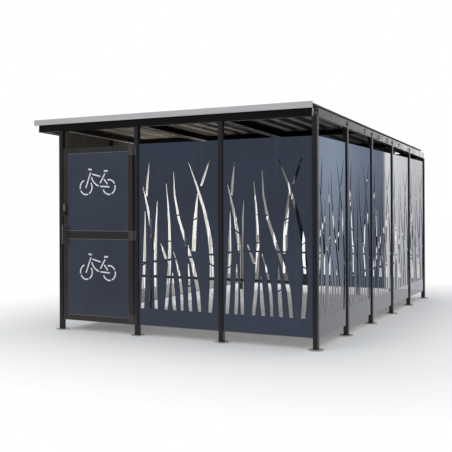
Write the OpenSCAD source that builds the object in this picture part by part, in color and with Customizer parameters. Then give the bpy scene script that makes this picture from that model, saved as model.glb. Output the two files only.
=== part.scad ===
// Lockable bike shelter: square steel posts on round foot plates, folded steel wall
// panels with laser-cut reeds, a hinged door and a single-pitch sheet roof.
// Millimetres, +Z up. The origin is on the ground under the front right corner post,
// +X runs to the right along the front and +Y runs from the front to the back.

/* [Plan] */
// Distance between post centres along the front and back walls
front_pitch = 1000; // [850:10:1200]
// Distance between post centres along the side walls
side_pitch = 930; // [850:10:1200]

/* [Posts] */
// Side of the square post tube
post_size = 50; // [46:1:70]
// Wall of the post tube
post_wall = 3; // [2:0.5:5]
// Outer corner radius of the post tube
post_corner = 4; // [1:0.5:6]
// Height of the post tops along the front wall
post_top = 2215; // [2170:5:2500]
// How far a post's bolting tab rises beside the roof frame
tab_h = 70; // [40:1:76]

/* [Foot plates] */
// Diameter of the round foot plate
foot_d = 150; // [140:5:200]
// Thickness of the foot plate
foot_t = 8; // [6:1:15]
// Pitch circle of the anchor holes
anchor_pcd = 112; // [105:1:120]
// Diameter of an anchor hole
anchor_d = 12; // [8:1:14]
// Anchor holes in each plate
anchor_count = 4; // [3:1:6]

/* [Wall panels] */
// Height of the bottom edge of the panels and the door above the ground
panel_bottom = 115; // [60:5:200]
// Height of a panel from its bottom edge to its top edge
panel_h = 1915; // [1850:5:2000]
// Depth of the folded edges of a panel
panel_depth = 25; // [22:1:40]
// Thickness of the panel sheet
panel_t = 2; // [1:0.5:3]
// Bar that joins the two sides of a long reed
tie_h = 14; // [8:1:25]
// Height of the stiffening channel behind a panel, above the panel's bottom edge
girt_z = 520; // [300:5:1500]
// Height of the stiffening channel's web
girt_h = 26; // [20:1:50]
// Depth of the stiffening channel
girt_depth = 15; // [10:1:19]
// Thickness of the stiffening channel
girt_t = 2; // [1:0.5:4]

/* [Door] */
// Drop of the door leaf's top below the top of the panels
leaf_drop = 10; // [0:1:40]
// Depth of the door's frame tubes
leaf_depth = 40; // [30:1:50]
// Wall of the door's frame tubes
leaf_wall = 2; // [1.5:0.5:4]
// Outer corner radius of the door's frame tubes
leaf_corner = 3; // [1:0.5:5]
// Width of the door's two upright tubes
stile_w = 60; // [55:1:80]
// Height of the door's top and bottom tubes
end_rail_h = 60; // [40:1:80]
// Height of the door's middle tube
mid_rail_h = 84; // [50:1:100]
// Height of the middle tube's centre above the bottom of the leaf
mid_rail_z = 945; // [800:5:1100]
// Open gap between the leaf and the post on the lock side
latch_gap = 10; // [8:1:15]
// Open gap between the leaf and the post on the hinge side
hinge_gap = 20; // [18:1:30]
// Depth of a door infill sheet's folded edges
infill_depth = 20; // [12:1:24]
// Thickness of a door infill sheet
infill_t = 1.5; // [1:0.5:3]
// Setback of a door infill sheet from the front of the leaf
infill_setback = 6; // [2:1:15]

/* [Hinges] */
// Height of a hinge
hinge_h = 105; // [80:1:120]
// Radius of the hinge knuckle
knuckle_r = 8; // [7:0.5:8.5]
// Radius of the hinge pin
pin_r = 4; // [3:0.5:5]
// Thickness of the hinge plates
hinge_t = 3; // [2:0.5:4]
// Width of the hinge plate on the post
post_plate_w = 26; // [20:1:40]
// Width of the hinge plate on the leaf
leaf_plate_w = 54; // [30:1:55]

/* [Lock and handle] */
// Height of the lock case
lock_h = 134; // [110:1:150]
// Width of the lock case
lock_w = 44; // [36:1:50]
// Depth of the lock case
lock_depth = 22; // [15:1:40]
// Height of the lock's lower end above the bottom of the leaf
lock_z = 1155; // [1130:5:1300]
// Diameter of the lock's turning knob
knob_d = 28; // [18:1:32]
// Length of the lock's turning knob
knob_len = 20; // [10:1:30]
// Overall height of the pull handle
handle_h = 216; // [150:1:240]
// Height of the pull handle's lower end above the bottom of the leaf
handle_z = 842; // [700:1:900]
// Distance from the leaf to the centre of the handle's bar
handle_reach = 52; // [40:1:80]
// Diameter of the handle's bar
handle_d = 16; // [12:1:22]

/* [Roof frame] */
// Fall of the roof towards the back, in degrees
roof_pitch = 1.7; // [1:0.1:4]
// Height of the beams, rails and rafters
rail_h = 80; // [80:1:120]
// Thickness of the folded beams, rails and rafters
rail_t = 3; // [2:0.5:4]
// Overhang of the roof frame past the left wall's post centres
left_overhang = 310; // [200:5:500]
// Height of a purlin between two rafters
purlin_h = 60; // [40:1:70]
// Depth of a purlin
purlin_w = 40; // [30:1:60]
// Thickness of a purlin
purlin_t = 2.5; // [1.5:0.5:4]

/* [Roof covering] */
// Thickness of the ribbed roof sheets
sheet_t = 1; // [0.5:0.25:2]
// Height of the ribs
rib_h = 42; // [30:1:60]
// Width of a rib's flat top
rib_top = 60; // [30:1:80]
// Horizontal run of a rib's sloping side
rib_side = 25; // [10:1:30]
// Overhang of the sheets in front of the front beam's centre
front_lap = 40; // [35:1:70]
// Overhang of the sheets behind the back beam's centre
rear_lap = 50; // [40:1:60]
// Overhang of the sheets past the left end of the roof frame
verge_lap = 55; // [20:5:100]
// Setback of the sheets from the right rail's outer face
right_setback = 34; // [10:1:45]
// Thickness of the fascia trim
fascia_t = 1.5; // [1:0.5:3]
// Drop of the fascia trim's lower lip below the roof sheets
fascia_drop = 0.5; // [0.5:0.5:40]
// Rise of the fascia trim's hemmed face above its top flange
fascia_rise = 15; // [5:1:30]
// Depth of the fascia trim's top flange on the sheets
fascia_top = 45; // [30:1:80]
// Depth of the fascia trim's lower lip
fascia_lip = 10; // [5:1:14]
// Gap between lengths of fascia trim or neighbouring roof sheets
joint_gap = 1; // [0.3:0.1:3]
// Width of the rear gutter
gutter_w = 55; // [45:1:120]
// Depth of the rear gutter
gutter_h = 55; // [40:1:70]
// Thickness of the gutter
gutter_t = 1.5; // [1:0.5:3]

/* [Fits] */
// Radial clearance of the hinge pin in the leaf's knuckle
pin_clearance = 0.05; // [0.02:0.01:0.1]
// Gap between two knuckles along the pin
knuckle_gap = 0.4; // [0.3:0.1:1]
// Gap between the gutter's rim and the roof sheets
gutter_gap = 4; // [2:1:15]

/* [Hidden] */
front_bays = 3;
side_bays = 5;
sheet_count = 3;
ribs_per_sheet = 6;
purlin_rows = 2;
blade_steps = 6;
overrun = 1;
$fn = 48;

half_post = post_size / 2;
width = front_bays * front_pitch;
depth = side_bays * side_pitch;
far = 2 * (width + depth);
steel_blue = [0.20, 0.24, 0.30];
frame_black = [0.18, 0.17, 0.18];
zinc_grey = [0.72, 0.72, 0.74];
girt_black = [0.08, 0.08, 0.09];

// Roof plan, in the sloping plane of the roof
slope_depth = depth / cos(roof_pitch);
rail_face = half_post - post_wall;
frame_left = -width - left_overhang;
sheet_left = frame_left - verge_lap;
sheet_right = rail_face - right_setback;
sheet_pitch = (sheet_right - sheet_left) / sheet_count;

// Panels fill the clear width between two posts
front_panel_w = front_pitch - post_size;
side_panel_w = side_pitch - post_size;
panel_face = panel_depth / 2;

// Door leaf, hung on the second post from the left
leaf_left = -width + half_post + latch_gap;
leaf_right = -width + front_pitch - half_post - hinge_gap;
leaf_w = leaf_right - leaf_left;
leaf_h = panel_h - leaf_drop;
leaf_front = -half_post;
infill_w = leaf_w - 2 * stile_w;
lock_x = leaf_left + stile_w / 2;
hinge_x = leaf_right + hinge_gap / 2;
hinge_y = leaf_front - knuckle_r;
hinge_centres = [hinge_h / 2, mid_rail_z, leaf_h - hinge_h / 2];

// Width and height of the panel that the reeds are drawn on, which they follow when it changes
drawn_w = 950;
drawn_h = 1930;
// Reeds as [foot x, foot z, tip x, tip z, bow, sway, width], from the panel's lower left corner
reeds = [
    [42, 180, 80, 1210, 8, 0, 46],
    [140, 180, 152, 680, 4, 0, 42],
    [212, 180, 230, 1320, -16, 0, 42],
    [184, 800, 52, 1480, 16, 0, 40],
    [98, 1370, 138, 1750, -4, 0, 28],
    [332, 180, 340, 1500, 44, 0, 42],
    [342, 690, 270, 880, 0, 0, 34],
    [436, 180, 412, 570, -4, 0, 46],
    [525, 180, 425, 790, 30, 0, 36],
    [625, 180, 600, 670, -4, 0, 46],
    [730, 180, 428, 1620, -10, 38, 44],
    [662, 800, 712, 1400, -6, 0, 50],
    [752, 1470, 852, 1740, 0, 0, 30],
    [850, 180, 604, 1720, 122, 0, 52]
];
// Ties across long reeds as [x, z, lean], from the panel's lower left corner
ties = [
    [68, 650, -30],
    [152, 1010, 35],
    [380, 900, 0],
    [478, 1170, -20],
    [680, 1130, -25],
    [612, 440, -30],
    [880, 660, 30]
];
tie_w = 90;

// Places children in the roof's sloping plane, with Z = 0 on the underside of the roof frame
module on_roof() {
    translate([0, 0, post_top]) rotate([-roof_pitch, 0, 0]) children();
}

// Everything above the roof frame's underside, or above a plane lifted from it
module above_roof(lift) {
    on_roof() translate([-far, -far, lift]) cube([2 * far, 2 * far, far]);
}

// Folded channel outline with its web at 0 and its flanges towards +X, or -X when side is -1
function channel(w, h, t, side) = [
    [0, 0], [side * w, 0], [side * w, t], [side * t, t],
    [side * t, h - t], [side * w, h - t], [side * w, h], [0, h]
];

// Extrudes an outline of [y, z] points along X
module along_x(x0, x1, outline) {
    translate([x0, 0, 0]) rotate([90, 0, 90]) linear_extrude(x1 - x0) polygon(outline);
}

// Extrudes an outline of [x, z] points along Y
module along_y(y0, y1, outline) {
    translate([0, y1, 0]) rotate([90, 0, 0]) linear_extrude(y1 - y0) polygon(outline);
}

function moved(points, a, b) = [for (p = points) [p[0] + a, p[1] + b]];

// Square or oblong outline with round corners, centred on the origin
module tube_outline(a, b, r) {
    square([a - 2 * r, b], center = true);
    square([a, b - 2 * r], center = true);
    for (x = [-1, 1], y = [-1, 1]) translate([x * (a / 2 - r), y * (b / 2 - r)]) circle(r);
}

// Open square tube, from the top of its foot plate to well above the roof frame
module post_tube(x, y) {
    tube_h = post_top - foot_t + 2 * rail_h;
    bore = post_size - 2 * post_wall;
    translate([x, y, foot_t]) difference() {
        linear_extrude(tube_h) tube_outline(post_size, post_size, post_corner);
        translate([-bore / 2, -bore / 2, -overrun]) cube([bore, bore, tube_h + 2 * overrun]);
    }
}

// Post that ends under the roof frame
module plain_post(x, y) {
    difference() {
        post_tube(x, y);
        above_roof(0);
    }
}

// Post with one wall left standing as a bolting tab, on its right when side is 1, else on its left
module tabbed_post(x, y, side) {
    difference() {
        post_tube(x, y);
        above_roof(tab_h);
        intersection() {
            above_roof(0);
            translate([x - half_post - side * post_wall, y - post_size, 0])
                cube([post_size, 2 * post_size, far]);
        }
    }
}

module front_posts() {
    color(frame_black) {
        tabbed_post(0, 0, -1);
        for (k = [1 : front_bays]) plain_post(-k * front_pitch, 0);
    }
}

module right_posts() {
    color(frame_black) {
        for (k = [1 : side_bays - 1]) tabbed_post(0, k * side_pitch, 1);
        tabbed_post(0, depth, -1);
    }
}

module back_posts() {
    color(frame_black) for (k = [1 : front_bays - 1]) plain_post(-k * front_pitch, depth);
}

module left_posts() {
    color(frame_black) {
        for (k = [1 : side_bays - 1]) tabbed_post(-width, k * side_pitch, -1);
        plain_post(-width, depth);
    }
}

// Round plate under a post, drilled for ground anchors on the diagonals
module foot_plate(x, y) {
    translate([x, y, 0]) difference() {
        cylinder(d = foot_d, h = foot_t);
        for (k = [0 : anchor_count - 1]) rotate(45 + k * 360 / anchor_count)
            translate([anchor_pcd / 2, 0, -overrun])
                cylinder(d = anchor_d, h = foot_t + 2 * overrun);
    }
}

module front_foot_plates() {
    color(zinc_grey) for (k = [0 : front_bays]) foot_plate(-k * front_pitch, 0);
}

module right_foot_plates() {
    color(zinc_grey) for (k = [1 : side_bays]) foot_plate(0, k * side_pitch);
}

module back_foot_plates() {
    color(zinc_grey) for (k = [1 : front_bays - 1]) foot_plate(-k * front_pitch, depth);
}

module left_foot_plates() {
    color(zinc_grey) for (k = [1 : side_bays]) foot_plate(-width, k * side_pitch);
}

// Sheet with four edges folded back, lower left corner at the origin and face towards -Y
module tray(w, h, d, t) {
    difference() {
        cube([w, d, h]);
        translate([t, t, t]) cube([w - 2 * t, d, h - 2 * t]);
    }
}

// Centre line and half width of a reed at a share s of its length, as drawn
function reed_x(r, s) = r[0] + (r[2] - r[0]) * s + r[4] * sin(180 * s) + r[5] * sin(360 * s);
function reed_z(r, s) = r[1] + (r[3] - r[1]) * s;
function reed_half(r, s) = r[6] / 2 * (0.85 + 0.6 * s - 1.3 * s * s);
// Outline of a reed, stretched by sx and sz from the drawn panel to the real one
function reed_outline(r, sx, sz) = concat(
    [for (k = [0 : blade_steps]) let (s = k / blade_steps)
        [sx * (reed_x(r, s) - reed_half(r, s)), sz * reed_z(r, s)]],
    [for (k = [blade_steps : -1 : 0]) let (s = k / blade_steps)
        [sx * (reed_x(r, s) + reed_half(r, s)), sz * reed_z(r, s)]]
);

// Folded wall panel of width w with its reeds cut through the sheet, lower left corner at the origin
module reed_panel(w) {
    sx = w / drawn_w;
    sz = panel_h / drawn_h;
    color(steel_blue) difference() {
        tray(w, panel_h, panel_depth, panel_t);
        difference() {
            for (r = reeds) along_y(-overrun, panel_t + overrun, reed_outline(r, sx, sz));
            for (t = ties) translate([sx * t[0], 0, sz * t[1]]) rotate([0, t[2], 0])
                translate([-tie_w / 2, -2 * overrun, -tie_h / 2])
                    cube([tie_w, panel_t + 4 * overrun, tie_h]);
        }
    }
}

// Channel behind the sheet of a panel of width w, between its folded edges
module girt(w) {
    color(girt_black)
        translate([0, 0, girt_z - girt_h / 2])
            along_x(panel_t, w - panel_t,
                moved(channel(girt_depth, girt_h, girt_t, 1), panel_t, 0));
}

// Places children in a bay, counted from the left of the wall as seen from outside
module front_bay(k) {
    translate([-width + (k - 1) * front_pitch + half_post, -panel_face, panel_bottom]) children();
}

module right_bay(k) {
    translate([panel_face, (k - 1) * side_pitch + half_post, panel_bottom]) rotate(90) children();
}

module back_bay(k) {
    translate([-(k - 1) * front_pitch - half_post, depth + panel_face, panel_bottom])
        rotate(180) children();
}

module left_bay(k) {
    translate([-width - panel_face, depth - (k - 1) * side_pitch - half_post, panel_bottom])
        rotate(270) children();
}

module front_girts() {
    for (k = [2 : front_bays]) front_bay(k) girt(front_panel_w);
}

module right_girts() {
    for (k = [1 : side_bays]) right_bay(k) girt(side_panel_w);
}

module back_girts() {
    for (k = [1 : front_bays]) back_bay(k) girt(front_panel_w);
}

module left_girts() {
    for (k = [1 : side_bays]) left_bay(k) girt(side_panel_w);
}

// Places children on the door leaf, with the origin at its lower left front corner
module on_leaf() {
    translate([leaf_left, leaf_front, panel_bottom]) children();
}

module door_stiles() {
    color(frame_black) on_leaf() for (x = [0, leaf_w - stile_w]) translate([x, 0, 0]) difference() {
        translate([stile_w / 2, leaf_depth / 2, 0])
            linear_extrude(leaf_h) tube_outline(stile_w, leaf_depth, leaf_corner);
        translate([leaf_wall, leaf_wall, leaf_wall])
            cube([stile_w - 2 * leaf_wall, leaf_depth - 2 * leaf_wall, leaf_h - 2 * leaf_wall]);
    }
}

// Tube between the door's two uprights
module door_rail(z, h) {
    translate([stile_w, 0, z]) difference() {
        translate([0, leaf_depth / 2, h / 2]) rotate([90, 0, 90])
            linear_extrude(infill_w) tube_outline(leaf_depth, h, leaf_corner);
        translate([-overrun, leaf_wall, leaf_wall])
            cube([infill_w + 2 * overrun, leaf_depth - 2 * leaf_wall, h - 2 * leaf_wall]);
    }
}

module door_rails() {
    color(frame_black) on_leaf() {
        door_rail(0, end_rail_h);
        door_rail(mid_rail_z - mid_rail_h / 2, mid_rail_h);
        door_rail(leaf_h - end_rail_h, end_rail_h);
    }
}

// Folded infill sheet between two of the door's cross tubes
module door_infill(z0, z1) {
    color(steel_blue) on_leaf() translate([stile_w, infill_setback, z0])
        tray(infill_w, z1 - z0, infill_depth, infill_t);
}

module door_upper_panel() {
    door_infill(mid_rail_z + mid_rail_h / 2, leaf_h - end_rail_h);
}

module door_lower_panel() {
    door_infill(end_rail_h, mid_rail_z - mid_rail_h / 2);
}

// Places children at each hinge, on the pin's axis at the hinge's lower end
module at_hinges() {
    for (z = hinge_centres)
        translate([hinge_x, hinge_y, panel_bottom + z - hinge_h / 2]) children();
}

knuckle_h = (hinge_h - 2 * knuckle_gap) / 3;
middle_z = knuckle_h + knuckle_gap;
top_z = 2 * middle_z;

// Hinge half screwed to the post: plate, two knuckles and the fixed pin
module hinge_post_halves() {
    color(frame_black) at_hinges() {
        translate([hinge_gap / 2, knuckle_r - hinge_t, 0]) cube([post_plate_w, hinge_t, hinge_h]);
        for (z = [0, top_z]) translate([0, 0, z]) {
            cylinder(r = knuckle_r, h = knuckle_h);
            translate([0, knuckle_r - hinge_t, 0]) cube([hinge_gap / 2, hinge_t, knuckle_h]);
        }
        cylinder(r = pin_r, h = hinge_h);
    }
}

// Hinge half screwed to the leaf: plate and one bored knuckle
module hinge_leaf_halves() {
    color(frame_black) at_hinges() difference() {
        union() {
            translate([-hinge_gap / 2 - leaf_plate_w, knuckle_r - hinge_t, 0])
                cube([leaf_plate_w, hinge_t, hinge_h]);
            translate([0, 0, middle_z]) {
                cylinder(r = knuckle_r, h = knuckle_h);
                translate([-hinge_gap / 2, knuckle_r - hinge_t, 0])
                    cube([hinge_gap / 2, hinge_t, knuckle_h]);
            }
        }
        translate([0, 0, middle_z - knuckle_gap / 2])
            cylinder(r = pin_r + pin_clearance, h = knuckle_h + knuckle_gap);
    }
}

// Lock case with rounded front corners and a turning knob at its foot
module code_lock() {
    corner = lock_depth / 3;
    color(frame_black) translate([lock_x, leaf_front, panel_bottom + lock_z]) {
        linear_extrude(lock_h) {
            translate([-lock_w / 2, -lock_depth + corner]) square([lock_w, lock_depth - corner]);
            translate([-lock_w / 2 + corner, -lock_depth]) square([lock_w - 2 * corner, corner]);
            for (x = [-1, 1]) translate([x * (lock_w / 2 - corner), -lock_depth + corner])
                circle(corner);
        }
        translate([0, -lock_depth, knob_d]) rotate([90, 0, 0]) cylinder(d = knob_d, h = knob_len);
    }
}

// Round bar bent back to the leaf at both ends, on two round roses
module pull_handle() {
    bar_r = handle_d / 2;
    rose_t = 3;
    color(frame_black) translate([lock_x, leaf_front, panel_bottom + handle_z]) {
        for (z = [bar_r, handle_h - bar_r]) translate([0, 0, z]) {
            rotate([90, 0, 0]) cylinder(r = bar_r, h = handle_reach);
            rotate([90, 0, 0]) cylinder(d = 2 * handle_d, h = rose_t);
            translate([0, -handle_reach, 0]) sphere(bar_r);
        }
        translate([0, -handle_reach, bar_r]) cylinder(r = bar_r, h = handle_h - handle_d);
    }
}

module front_beam() {
    color(frame_black) on_roof()
        along_x(frame_left, -half_post, moved(channel(post_size, rail_h, rail_t, 1), -half_post, 0));
}

module back_beam() {
    color(frame_black) on_roof()
        along_x(frame_left, -half_post,
            moved(channel(post_size, rail_h, rail_t, -1), slope_depth + half_post, 0));
}

// Channel on the side posts, inside their tabs and between the two corner posts
module right_rail() {
    front_end = half_post / cos(roof_pitch);
    rear_end = (depth - half_post) / cos(roof_pitch) - rail_h * tan(roof_pitch);
    color(frame_black) on_roof()
        along_y(front_end, rear_end,
            moved(channel(rail_face + half_post, rail_h, rail_t, -1), rail_face, 0));
}

// Channel between the front and back beams, with its web at x
module rafter(x, w) {
    color(frame_black) on_roof()
        along_y(half_post, slope_depth - half_post, moved(channel(w, rail_h, rail_t, 1), x, 0));
}

module left_rail() {
    rafter(-width - rail_face, rail_face + half_post);
}

module inner_rafters() {
    for (k = [1 : front_bays - 1]) rafter(-k * front_pitch - half_post, post_size);
}

module edge_rafter() {
    rafter(frame_left, post_size);
}

// Channels from web to web of neighbouring rafters, under their top flanges
module roof_purlins() {
    inner_webs = [for (k = [1 : front_bays - 1]) -k * front_pitch - half_post];
    webs = concat(inner_webs, [-width - rail_face, frame_left]);
    right_ends = concat([rail_face - rail_t], [for (k = [0 : len(webs) - 2]) webs[k]]);
    purlin_z = rail_h - rail_t - purlin_h;
    color(frame_black) on_roof()
        for (row = [1 : purlin_rows], k = [0 : len(webs) - 1])
            along_x(webs[k] + rail_t, right_ends[k],
                moved(channel(purlin_w, purlin_h, purlin_t, 1),
                    row * slope_depth / (purlin_rows + 1), purlin_z));
}

// Underside of one ribbed sheet from the middle of one rib's top to the middle of another's
function rib_line(x0, x1, z) = let (step = (x1 - x0) / ribs_per_sheet) concat(
    [[x0, z + rib_h]],
    [for (k = [0 : ribs_per_sheet - 1]) each [
        [x0 + k * step + rib_top / 2, z + rib_h],
        [x0 + k * step + rib_top / 2 + rib_side, z],
        [x0 + (k + 1) * step - rib_top / 2 - rib_side, z],
        [x0 + (k + 1) * step - rib_top / 2, z + rib_h]
    ]],
    [[x1, z + rib_h]]
);

function turned(points) = [for (k = [len(points) - 1 : -1 : 0]) points[k]];

module roof_sheets() {
    color(zinc_grey) on_roof() for (k = [0 : sheet_count - 1]) {
        x0 = sheet_left + k * sheet_pitch + joint_gap / 2;
        x1 = sheet_left + (k + 1) * sheet_pitch - joint_gap / 2;
        along_y(-front_lap, slope_depth + rear_lap,
            concat(rib_line(x0, x1, rail_h), turned(rib_line(x0, x1, rail_h + sheet_t))));
    }
}

// Folded trim in front of the sheets' ends, in lengths that match the sheets, with a closed left end
module front_fascia() {
    face_y = -front_lap - fascia_t;
    low_z = rail_h - fascia_drop - fascia_t;
    under_z = rail_h + rib_h + sheet_t;
    flange_z = under_z + fascia_t;
    top_z = flange_z + fascia_rise;
    back_y = fascia_top - front_lap;
    lip_y = fascia_lip - front_lap;
    hem_y = fascia_t - front_lap;
    outline = [
        [face_y, low_z], [lip_y, low_z], [lip_y, low_z + fascia_t], [-front_lap, low_z + fascia_t],
        [-front_lap, under_z], [back_y, under_z], [back_y, flange_z],
        [hem_y, flange_z], [hem_y, top_z], [face_y, top_z]
    ];
    color(zinc_grey) on_roof() {
        for (k = [0 : sheet_count - 1])
            along_x(sheet_left + k * sheet_pitch + (k == 0 ? 0 : joint_gap / 2),
                sheet_left + (k + 1) * sheet_pitch - joint_gap / 2, outline);
        along_x(sheet_left - fascia_t, sheet_left,
            [[face_y, low_z], [back_y, low_z], [back_y, flange_z], [hem_y, top_z], [face_y, top_z]]);
    }
}

// Open trough on the back of the back beam, with closed ends
module rear_gutter() {
    y0 = slope_depth + half_post;
    y1 = y0 + gutter_w;
    z1 = rail_h - gutter_gap;
    z0 = z1 - gutter_h;
    color(zinc_grey) on_roof() difference() {
        along_x(sheet_left, sheet_right, [[y0, z0], [y1, z0], [y1, z1], [y0, z1]]);
        along_x(sheet_left + gutter_t, sheet_right - gutter_t, [
            [y0 + gutter_t, z0 + gutter_t], [y1 - gutter_t, z0 + gutter_t],
            [y1 - gutter_t, z1 + overrun], [y0 + gutter_t, z1 + overrun]
        ]);
    }
}

front_posts();
right_posts();
back_posts();
left_posts();
front_foot_plates();
right_foot_plates();
back_foot_plates();
left_foot_plates();
for (k = [1 : front_bays - 1]) front_bay(k + 1) reed_panel(front_panel_w);
for (k = [1 : side_bays]) right_bay(k) reed_panel(side_panel_w);
for (k = [1 : front_bays]) back_bay(k) reed_panel(front_panel_w);
for (k = [1 : side_bays]) left_bay(k) reed_panel(side_panel_w);
front_girts();
right_girts();
back_girts();
left_girts();
door_stiles();
door_rails();
door_upper_panel();
door_lower_panel();
hinge_post_halves();
hinge_leaf_halves();
code_lock();
pull_handle();
front_beam();
back_beam();
right_rail();
left_rail();
inner_rafters();
edge_rafter();
roof_purlins();
roof_sheets();
front_fascia();
rear_gutter();
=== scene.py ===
from math import atan2, cos, hypot, pi, radians, sin

import bmesh
import bpy
from mathutils import Matrix, Vector


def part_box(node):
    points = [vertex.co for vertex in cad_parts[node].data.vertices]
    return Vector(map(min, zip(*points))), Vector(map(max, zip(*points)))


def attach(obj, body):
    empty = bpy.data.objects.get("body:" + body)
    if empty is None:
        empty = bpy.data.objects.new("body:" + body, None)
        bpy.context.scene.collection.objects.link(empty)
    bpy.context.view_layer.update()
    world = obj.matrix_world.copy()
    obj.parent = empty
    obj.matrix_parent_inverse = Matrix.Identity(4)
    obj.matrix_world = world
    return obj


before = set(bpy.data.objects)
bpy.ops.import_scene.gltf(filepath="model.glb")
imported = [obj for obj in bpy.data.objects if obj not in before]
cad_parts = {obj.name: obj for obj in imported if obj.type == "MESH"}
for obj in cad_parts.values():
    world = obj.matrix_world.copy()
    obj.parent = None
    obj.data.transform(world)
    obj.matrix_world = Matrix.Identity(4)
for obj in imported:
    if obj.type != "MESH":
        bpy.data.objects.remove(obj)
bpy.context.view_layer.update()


# Foot plates
# Round plates cut from 8 mm steel and dipped in zinc, one under each post. The zinc freezes
# in grey flakes, with a dull bloom over them in patches.

plate_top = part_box("front_foot_plates")[1].z
front_pitch, side_pitch = 1.0, 0.93
left_wall, back_wall = -3 * front_pitch, 5 * side_pitch
post_spots = {
    "front": [(-k * front_pitch, 0) for k in range(4)],
    "right": [(0, k * side_pitch) for k in range(1, 6)],
    "back": [(-k * front_pitch, back_wall) for k in (1, 2)],
    "left": [(left_wall, k * side_pitch) for k in range(1, 6)],
}


def srgb(red, green, blue):
    """Linear colour from the 0 to 255 values of a colour chart."""
    shares = [c / 255 for c in (red, green, blue)]
    return [c / 12.92 if c < 0.04 else ((c + 0.055) / 1.055) ** 2.4 for c in shares] + [1.0]


def new_material(name, roughness, metallic=0.0, ior=1.45):
    material = bpy.data.materials.new(name)
    material.use_nodes = True
    shader = material.node_tree.nodes["Principled BSDF"]
    shader.inputs["Roughness"].default_value = roughness
    shader.inputs["Metallic"].default_value = metallic
    shader.inputs["IOR"].default_value = ior
    return material


def add_node(material, kind, **values):
    """Adds a node; each value is one of its sockets or else one of its settings."""
    node = material.node_tree.nodes.new("ShaderNode" + kind)
    for name, value in values.items():
        if name in node.inputs:
            node.inputs[name].default_value = value
        else:
            setattr(node, name, value)
    return node


def wire(material, start, end):
    material.node_tree.links.new(start, end)


def grain(material, scale, detail=3.0, stretch=(1, 1, 1)):
    """Noise in the piece's own space, at so many grains a metre."""
    place = add_node(material, "TexCoord")
    mapping = add_node(material, "Mapping", Scale=stretch)
    noise = add_node(material, "TexNoise", Scale=scale, Detail=detail)
    wire(material, place.outputs["Object"], mapping.inputs["Vector"])
    wire(material, mapping.outputs["Vector"], noise.inputs["Vector"])
    return noise.outputs["Fac"]


def remap(material, value, low, high, to_low=0.0, to_high=1.0):
    """Stretches the span from low to high over another span, and stops at its ends."""
    node = add_node(material, "MapRange")
    limits = {"From Min": low, "From Max": high, "To Min": to_low, "To Max": to_high}
    for name, limit in limits.items():
        node.inputs[name].default_value = limit
    wire(material, value, node.inputs["Value"])
    return node.outputs["Result"]


def mix_colours(material, share, first, second):
    """Blends two colours, each a list or another node's socket, by a share from 0 to 1."""
    node = add_node(material, "Mix", data_type="RGBA")
    wire(material, share, node.inputs[0])
    for socket, colour in ((node.inputs[6], first), (node.inputs[7], second)):
        if isinstance(colour, list):
            socket.default_value = colour
        else:
            wire(material, colour, socket)
    return node.outputs[2]


def roughen(material, height, strength, depth):
    """Raises the surface by a height pattern, as bump of so many metres."""
    shader = material.node_tree.nodes["Principled BSDF"]
    bump = add_node(material, "Bump", Strength=strength, Distance=depth)
    wire(material, height, bump.inputs["Height"])
    wire(material, bump.outputs["Normal"], shader.inputs["Normal"])


def zinc(name, light, dark, flake, roughness, metallic):
    """Hot-dip zinc: flat flakes of two greys, so many a metre, with a dull bloom over them."""
    material = new_material(name, roughness, metallic)
    shader = material.node_tree.nodes["Principled BSDF"]
    place = add_node(material, "TexCoord")
    crystals = add_node(material, "TexVoronoi", Scale=flake)
    wire(material, place.outputs["Object"], crystals.inputs["Vector"])
    flakes = mix_colours(material, crystals.outputs["Color"], light, dark)
    bloom = remap(material, grain(material, 5.0), 0.45, 0.7, to_high=0.5)
    wire(material, mix_colours(material, bloom, flakes, dark), shader.inputs["Base Color"])
    sheen = remap(material, grain(material, 11.0), 0.3, 0.7, roughness - 0.08, roughness + 0.12)
    wire(material, sheen, shader.inputs["Roughness"])
    roughen(material, grain(material, 260.0), strength=0.25, depth=0.0005)
    return material


def dress(material, *nodes):
    """Gives CAD nodes a finish."""
    for node in nodes:
        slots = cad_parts[node].data.materials
        slots.clear()
        slots.append(material)


plate_zinc = zinc("plate_zinc", srgb(206, 206, 202), srgb(164, 164, 161),
                  flake=90.0, roughness=0.4, metallic=0.25)
dress(plate_zinc, *[wall + "_foot_plates" for wall in post_spots])


# Ground anchors
# Four anchor screws hold each foot plate down. Their low round heads have a socket for the key
# and cover the holes. They are plated steel, modelled once and set out on the bolt circles.

anchor_circle = 0.112
anchor_radius, anchor_rise, anchor_socket = 0.0105, 0.003, 0.005
crease_angle = radians(35)


def pick_faces(test):
    """Selects the faces in edit mode whose centre and normal pass the test."""
    bpy.ops.mesh.select_mode(type="FACE")
    bpy.ops.mesh.select_all(action="DESELECT")
    mesh = bmesh.from_edit_mesh(bpy.context.edit_object.data)
    for face in mesh.faces:
        if test(face.calc_center_median(), face.normal):
            face.select_set(True)
    bmesh.update_edit_mesh(bpy.context.edit_object.data)


def pick_facing(*directions):
    """Selects the faces that look along one of the directions."""
    pick_faces(lambda centre, normal: any(normal.dot(Vector(d)) > 0.9 for d in directions))


def pick_top(height):
    """Selects the upward faces at one height."""
    pick_faces(lambda centre, normal: normal.z > 0.9 and abs(centre.z - height) < 1e-5)


def begin(name, add, **shape):
    """Starts a piece from a primitive, at its size and place, and opens it in edit mode."""
    bpy.ops.object.select_all(action="DESELECT")
    add(**shape)
    piece = bpy.context.object
    piece.name = piece.data.name = name
    bpy.ops.object.transform_apply(location=True, rotation=True, scale=True)
    bpy.ops.object.mode_set(mode="EDIT")
    return piece


def close_up(piece, material):
    """Closes edit mode with the normals outward, and gives the piece its finish."""
    bpy.ops.mesh.select_all(action="SELECT")
    bpy.ops.mesh.normals_make_consistent(inside=False)
    bpy.ops.object.mode_set(mode="OBJECT")
    bpy.ops.object.shade_smooth_by_angle(angle=crease_angle)
    piece.data.materials.append(material)
    return piece


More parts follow.
